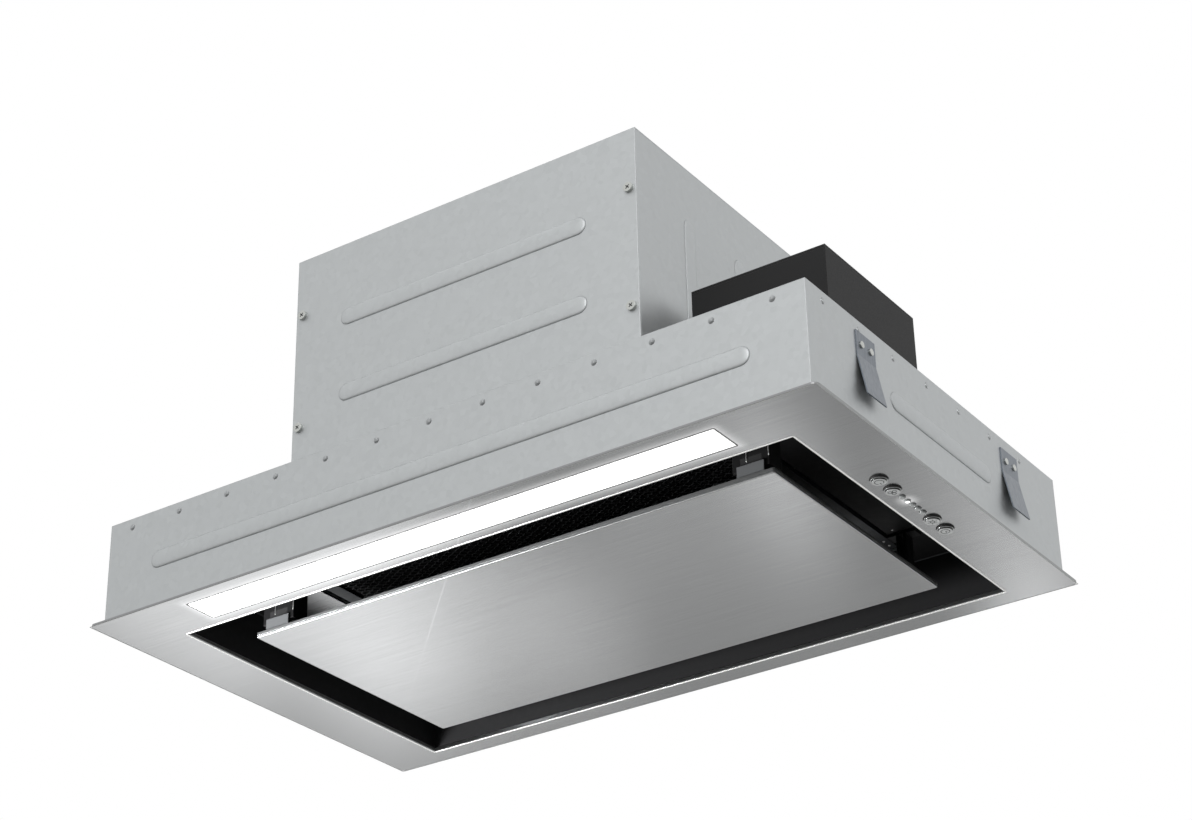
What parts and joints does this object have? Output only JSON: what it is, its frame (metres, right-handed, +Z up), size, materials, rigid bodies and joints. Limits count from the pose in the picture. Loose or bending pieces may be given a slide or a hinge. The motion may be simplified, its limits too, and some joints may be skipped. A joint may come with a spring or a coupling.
{
  "type": "range hood",
  "caption": "Built-in canopy hood: brushed steel trim, flush hinged suction panel, strip lamp, round push buttons, grease filter, enclosed blower and flapped duct collar.",
  "frame": {"origin": "centre of the trim frame's outline, in the plane of the hem's upper face, which bears on the cabinet's underside", "axes": "+X to the right as seen from the cook, +Y to the back wall, +Z up"},
  "size_m": [0.6, 0.36, 0.3089],
  "materials": {
    "stainless": "fine brushed along the width",
    "black_enamel": "semi-gloss black enamel",
    "galvanised": "galvanised sheet",
    "zinc_steel": "bright zinc plated",
    "spring_steel": "tempered spring strip",
    "polished_steel": "ground and polished",
    "filter_aluminium": "rolled sheet and expanded mesh",
    "lamp_aluminium": "extruded",
    "opal_acrylic": "opal, glowing",
    "light_chip": "clear encapsulated",
    "board_laminate": "solder-masked laminate",
    "silver_plastic": "silver lacquered",
    "clear_acrylic": "clear moulded",
    "black_plastic": "fine textured moulding",
    "grey_plastic": "moulded",
    "magnet": "sintered",
    "motor_enamel": "dipped enamel",
    "bronze": "sintered bronze",
    "rubber": "matt moulded rubber"
  },
  "bodies": {
    "hood": {"box_end_left": "galvanised", "box_end_right": "galvanised", "box_wrap": "galvanised", "bush_screws": "zinc_steel", "cable_gland": "black_plastic", "capacitor": "grey_plastic", "casing": "galvanised", "catch_blocks": "black_plastic", "catch_magnets": "magnet", "clip_rivets": "zinc_steel", "collar_ring": "black_plastic", "control_board": "board_laminate", "control_carrier": "grey_plastic", "control_cover": "grey_plastic", "control_switches": "black_plastic", "electrics_box": "black_plastic", "electrics_lid": "black_plastic", "filter_core": "filter_aluminium", "filter_deck": "black_enamel", "filter_frame": "filter_aluminium", "filter_meshes": "filter_aluminium", "filter_seat": "galvanised", "flap_spindle": "polished_steel", "hinge_brackets": "zinc_steel", "hinge_pins": "polished_steel", "indicator_chips": "light_chip", "indicator_lenses": "clear_acrylic", "lamp_board": "board_laminate", "lamp_caps": "black_plastic", "lamp_channel": "lamp_aluminium", "lamp_chips": "light_chip", "lamp_diffuser": "opal_acrylic", "lead_grommets": "rubber", "motor": "motor_enamel", "motor_bearings": "bronze", "motor_bracket": "galvanised", "motor_bushes": "rubber", "motor_lead": "rubber", "outlet_collar": "black_plastic", "pan_screws": "zinc_steel", "recess_liner": "black_enamel", "scroll_left": "grey_plastic", "scroll_right": "grey_plastic", "spring_clips": "spring_steel", "terminal_block": "grey_plastic", "trim_frame": "stainless"},
    "panel": {"panel_skin": "stainless", "panel_stiffeners": "galvanised", "panel_rivets": "zinc_steel", "catch_tabs": "stainless", "hinge_ears": "zinc_steel"},
    "key_1": {"button_1": "silver_plastic"},
    "key_2": {"button_2": "silver_plastic"},
    "key_3": {"button_3": "silver_plastic"},
    "key_4": {"button_4": "silver_plastic"},
    "latch": {"filter_latch": "black_plastic"},
    "rotor": {"impeller": "grey_plastic", "shaft": "polished_steel"},
    "damper_front": {"flap_front": "black_plastic"},
    "damper_back": {"flap_back": "black_plastic"}
  },
  "joints": [
    {"name": "panel_hinge", "type": "hinge", "parent": "hood", "child": "panel", "pos_m": [0.2, 0.116, 0.0114], "axis": [1, 0, 0], "range_deg": [0, 90]},
    {"name": "button_1_press", "type": "slide", "parent": "hood", "child": "key_1", "axis": [0, 0, 1], "range_m": [0, 0.0012], "stiffness_N_per_m": 900},
    {"name": "button_2_press", "type": "slide", "parent": "hood", "child": "key_2", "axis": [0, 0, 1], "range_m": [0, 0.0012], "stiffness_N_per_m": 900},
    {"name": "button_3_press", "type": "slide", "parent": "hood", "child": "key_3", "axis": [0, 0, 1], "range_m": [0, 0.0012], "stiffness_N_per_m": 900},
    {"name": "button_4_press", "type": "slide", "parent": "hood", "child": "key_4", "axis": [0, 0, 1], "range_m": [0, 0.0012], "stiffness_N_per_m": 900},
    {"name": "filter_latch_slide", "type": "slide", "parent": "hood", "child": "latch", "axis": [0, 1, 0], "range_m": [0, 0.008], "stiffness_N_per_m": 350},
    {"name": "impeller_spin", "type": "hinge", "parent": "hood", "child": "rotor", "pos_m": [0, -0.04, 0.16999], "axis": [1, 0, 0], "continuous": true},
    {"name": "damper_front_swing", "type": "hinge", "parent": "hood", "child": "damper_front", "pos_m": [0, 0.03234, 0.27614], "axis": [-1, 0, 0], "range_deg": [0, 75]},
    {"name": "damper_back_swing", "type": "hinge", "parent": "hood", "child": "damper_back", "pos_m": [0, 0.03234, 0.27614], "axis": [1, 0, 0], "range_deg": [0, 75]}
  ]
}
